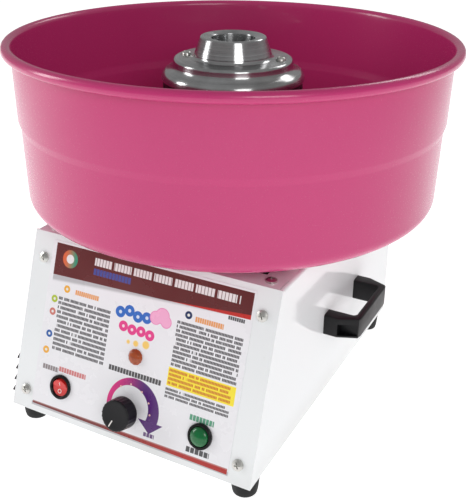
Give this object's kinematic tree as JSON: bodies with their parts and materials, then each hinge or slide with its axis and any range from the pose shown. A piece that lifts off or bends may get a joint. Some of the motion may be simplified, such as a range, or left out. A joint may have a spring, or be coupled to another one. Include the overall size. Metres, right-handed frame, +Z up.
{
  "type": "cotton candy machine",
  "caption": "Tabletop cotton candy machine: a wide bowl around a motor-driven spinner head, on a wedge-fronted cabinet with side handles and a sloping control panel.",
  "frame": {"origin": "on the spinner's axis, in the plane that the rubber feet stand on", "axes": "+Z up along the spinner's axis, +X to the right, +Y from the control panel to the back panel"},
  "size_m": [0.43, 0.4348, 0.35],
  "materials": {
    "cabinet_white": "smooth gloss white powder coat",
    "panel_film": "printed film, satin gloss",
    "zinc_sheet": "dull zinc plated sheet",
    "screw_steel": "bright plated screw heads",
    "foot_rubber": "matt moulded rubber",
    "handle_plastic": "fine-grained black moulding",
    "vent_plastic": "satin black moulding",
    "bowl_pink": "glossy pink enamel on spun metal",
    "collar_steel": "turned steel",
    "spacer_nylon": "white nylon",
    "motor_cast": "cast aluminium end bells",
    "motor_iron": "varnished steel laminations",
    "winding_copper": "varnished copper winding",
    "isolator_rubber": "matt moulded rubber",
    "bearing_steel": "ground bearing steel",
    "shaft_steel": "ground steel",
    "fan_plastic": "dark nylon",
    "insulator_brown": "brown phenolic",
    "ring_brass": "turned brass",
    "brush_carbon": "pressed carbon graphite",
    "spring_wire": "drawn spring wire",
    "moulded_black": "glossy black moulding",
    "rocker_red": "red translucent rocker",
    "button_green": "green push button",
    "lamp_amber": "dark amber faceted lens",
    "lamp_white": "white lamp body",
    "knob_black": "satin black knob",
    "pot_metal": "pressed can and threaded bushing",
    "board_green": "glass-fibre circuit board",
    "component_black": "dark moulded and anodised components",
    "terminal_ivory": "ivory terminal moulding",
    "wire_red": "insulated wire",
    "head_aluminium": "machined and lightly polished aluminium",
    "head_steel": "heat-stained steel",
    "band_black": "heat-blackened slotted band",
    "element_wire": "oxidised resistance wire"
  },
  "bodies": {
    "cabinet": {"cabinet_wrap": "cabinet_white", "base_plate": "cabinet_white", "back_panel": "cabinet_white", "front_panel": "cabinet_white", "front_overlay": "panel_film", "panel_screws": "screw_steel", "rubber_feet": "foot_rubber", "handle_left": "handle_plastic", "handle_right": "handle_plastic", "handle_screws": "screw_steel", "side_vent_grille": "vent_plastic", "frame_rail_left": "zinc_sheet", "frame_rail_right": "zinc_sheet", "motor_bridge": "zinc_sheet", "frame_bolts": "screw_steel", "bowl": "bowl_pink", "bowl_collar": "collar_steel", "bowl_spacers": "spacer_nylon", "bowl_screws": "screw_steel", "motor_upper_bell": "motor_cast", "motor_lower_bell": "motor_cast", "motor_stator": "motor_iron", "motor_windings": "winding_copper", "motor_bolts": "screw_steel", "rubber_isolators": "isolator_rubber", "shaft_bearings": "bearing_steel", "brush_holder": "moulded_black", "potentiometer": "pot_metal", "rocker_housing": "moulded_black", "start_button_housing": "moulded_black", "pilot_lamp_lens": "lamp_amber", "pilot_lamp_body": "lamp_white", "control_board": "board_green", "board_standoffs": "spacer_nylon", "board_components": "component_black", "terminal_block": "terminal_ivory", "cable_gland": "moulded_black", "fuse_holder": "moulded_black", "wiring_loom": "wire_red"},
    "spinner": {"motor_shaft": "shaft_steel", "extension_tube": "shaft_steel", "motor_rotor": "motor_iron", "cooling_fan": "fan_plastic", "slip_ring_sleeve": "insulator_brown", "slip_rings": "ring_brass", "head_base": "head_steel", "head_cover": "head_aluminium", "head_screws": "screw_steel", "heater_band": "band_black", "heating_element": "element_wire"},
    "heat_control": {"heat_knob": "knob_black", "potentiometer_shaft": "shaft_steel"},
    "power_rocker": {"main_rocker": "rocker_red"},
    "button": {"start_button": "button_green", "start_button_spring": "spring_wire"},
    "upper_brush": {"brush_upper": "brush_carbon", "brush_spring_upper": "spring_wire"},
    "lower_brush": {"brush_lower": "brush_carbon", "brush_spring_lower": "spring_wire"}
  },
  "joints": [
    {"name": "spinner_spin", "type": "hinge", "parent": "cabinet", "child": "spinner", "pos_m": [0, 0, 0.1], "axis": [0, 0, 1], "continuous": true},
    {"name": "knob_turn", "type": "hinge", "parent": "cabinet", "child": "heat_control", "pos_m": [0, -0.20284, 0.04962], "axis": [0, 0.9487, -0.3162], "range_deg": [0, 300]},
    {"name": "rocker_tilt", "type": "hinge", "parent": "cabinet", "child": "power_rocker", "pos_m": [-0.075, -0.19525, 0.04709], "axis": [-1, 0, 0], "range_deg": [0, 24]},
    {"name": "button_press", "type": "slide", "parent": "cabinet", "child": "button", "axis": [0, 0.9487, -0.3162], "range_m": [0, 0.0035], "stiffness_N_per_m": 400, "springref_m": -0.0015, "deforming": ["start_button_spring"]},
    {"name": "upper_brush_slide", "type": "slide", "parent": "cabinet", "child": "upper_brush", "axis": [1, 0, 0], "range_m": [0, 0.004], "stiffness_N_per_m": 100, "springref_m": -0.008, "deforming": ["brush_spring_upper"]},
    {"name": "lower_brush_slide", "type": "slide", "parent": "cabinet", "child": "lower_brush", "axis": [1, 0, 0], "range_m": [0, 0.004], "stiffness_N_per_m": 100, "springref_m": -0.008, "deforming": ["brush_spring_lower"]}
  ]
}
